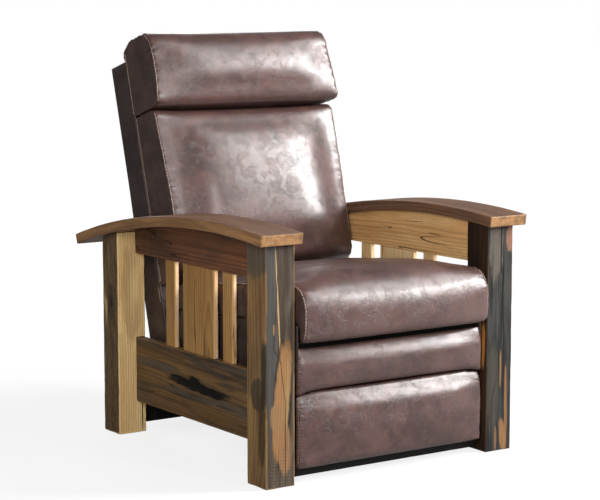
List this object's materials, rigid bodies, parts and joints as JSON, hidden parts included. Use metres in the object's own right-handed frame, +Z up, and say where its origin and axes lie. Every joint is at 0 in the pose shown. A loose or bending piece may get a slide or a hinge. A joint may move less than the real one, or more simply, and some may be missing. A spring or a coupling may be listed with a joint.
{
  "type": "reclining armchair",
  "caption": "Mission reclining armchair: weathered wooden posts, bowed arms and slatted sides round a leather seat, leaning back and fold-out footrest on steel links.",
  "frame": {"origin": "on the floor, under the middle of the whole chair's outline", "axes": "+Z up, +Y towards the back of the chair, +X to the right of someone who stands in front of it"},
  "size_m": [0.844, 1.015, 1.1242],
  "materials": {
    "weathered_post_wood": "matte",
    "arm_wood": "satin",
    "rail_wood": "satin",
    "slat_wood": "satin",
    "frame_wood": "matte",
    "black_board": "matte",
    "brown_leather": "satin",
    "webbing": "matte",
    "black_steel": "satin",
    "bright_steel": "satin"
  },
  "bodies": {
    "root": {"front_post_right": "weathered_post_wood", "front_post_left": "weathered_post_wood", "rear_post_right": "weathered_post_wood", "rear_post_left": "weathered_post_wood", "arm_board_right": "arm_wood", "arm_board_left": "arm_wood", "arm_dowels": "frame_wood", "upper_side_rail_right": "rail_wood", "upper_side_rail_left": "rail_wood", "lower_side_rail_right": "rail_wood", "lower_side_rail_left": "rail_wood", "wide_slat_right": "slat_wood", "wide_slat_left": "slat_wood", "narrow_slats_right": "slat_wood", "narrow_slats_left": "slat_wood", "front_base_board": "black_board", "rear_base_board": "black_board", "base_rail_right": "frame_wood", "base_rail_left": "frame_wood", "base_plates": "black_steel", "base_bolts": "bright_steel", "swing_lower_pins": "bright_steel"},
    "front_swing": {"front_swing_links": "black_steel", "front_swing_pins": "bright_steel"},
    "rear_swing": {"rear_swing_links": "black_steel", "rear_swing_pins": "bright_steel"},
    "seat": {"seat_plate_right": "black_steel", "seat_plate_left": "black_steel", "seat_plate_screws": "bright_steel", "seat_pivot_pins": "bright_steel", "seat_side_rail_right": "frame_wood", "seat_side_rail_left": "frame_wood", "seat_front_rail": "frame_wood", "seat_rear_rail": "frame_wood", "seat_webbing": "webbing", "seat_cushion": "brown_leather"},
    "back": {"back_brackets": "black_steel", "back_bracket_bolts": "bright_steel", "back_stile_right": "frame_wood", "back_stile_left": "frame_wood", "back_top_rail": "frame_wood", "back_middle_rail": "frame_wood", "back_bottom_rail": "frame_wood", "back_webbing": "webbing", "back_cover": "brown_leather", "back_cushion": "brown_leather", "head_pillow": "brown_leather"},
    "drive": {"drive_links": "black_steel", "drive_tube": "black_steel", "lift_pivot_pins": "bright_steel"},
    "lift": {"lift_links": "black_steel", "bracket_pivot_pins": "bright_steel"},
    "control": {"control_links": "black_steel", "control_pins": "bright_steel"},
    "footrest": {"footrest_screws": "bright_steel", "footrest_board": "black_board", "footrest_brackets": "black_steel", "lower_footrest_pad": "brown_leather", "upper_footrest_pad": "brown_leather"}
  },
  "joints": [
    {"name": "back_recline", "type": "hinge", "parent": "seat", "child": "back", "pos_m": [0, 0.18666, 0.33001], "axis": [-1, 0, 0], "range_deg": [0, 36]},
    {"name": "front_swing_turn", "type": "hinge", "parent": "root", "child": "front_swing", "pos_m": [0, -0.26832, 0.14], "axis": [-1, 0, 0], "range_deg": [-45, 0]},
    {"name": "seat_carry", "type": "hinge", "parent": "front_swing", "child": "seat", "pos_m": [0, -0.22606, 0.23063], "axis": [-1, 0, 0], "range_deg": [0, 45]},
    {"name": "rear_swing_turn", "type": "hinge", "parent": "root", "child": "rear_swing", "pos_m": [0, 0.08166, 0.14], "axis": [-1, 0, 0], "range_deg": [-45, 0]},
    {"name": "footrest_unfold", "type": "hinge", "parent": "seat", "child": "drive", "pos_m": [0, -0.36832, 0.296], "axis": [-1, 0, 0], "range_deg": [0, 80]},
    {"name": "lift_link_turn", "type": "hinge", "parent": "drive", "child": "lift", "pos_m": [0, -0.35438, 0.13661], "axis": [-1, 0, 0], "range_deg": [-125, 0]},
    {"name": "control_link_turn", "type": "hinge", "parent": "drive", "child": "control", "pos_m": [0, -0.33693, 0.19877], "axis": [-1, 0, 0], "range_deg": [-127.44, 0]},
    {"name": "footrest_turn", "type": "hinge", "parent": "lift", "child": "footrest", "pos_m": [0, -0.36832, 0.296], "axis": [-1, 0, 0], "range_deg": [0, 135]}
  ],
  "couplings": [
    {"joint": "front_swing_turn", "follows": "back_recline", "ratio": -1.25},
    {"joint": "seat_carry", "follows": "back_recline", "ratio": 1.25},
    {"joint": "rear_swing_turn", "follows": "back_recline", "ratio": -1.25},
    {"joint": "lift_link_turn", "follows": "footrest_unfold", "ratio": -1.5625},
    {"joint": "control_link_turn", "follows": "footrest_unfold", "ratio": -1.5929},
    {"joint": "footrest_turn", "follows": "footrest_unfold", "ratio": 1.6875}
  ]
}
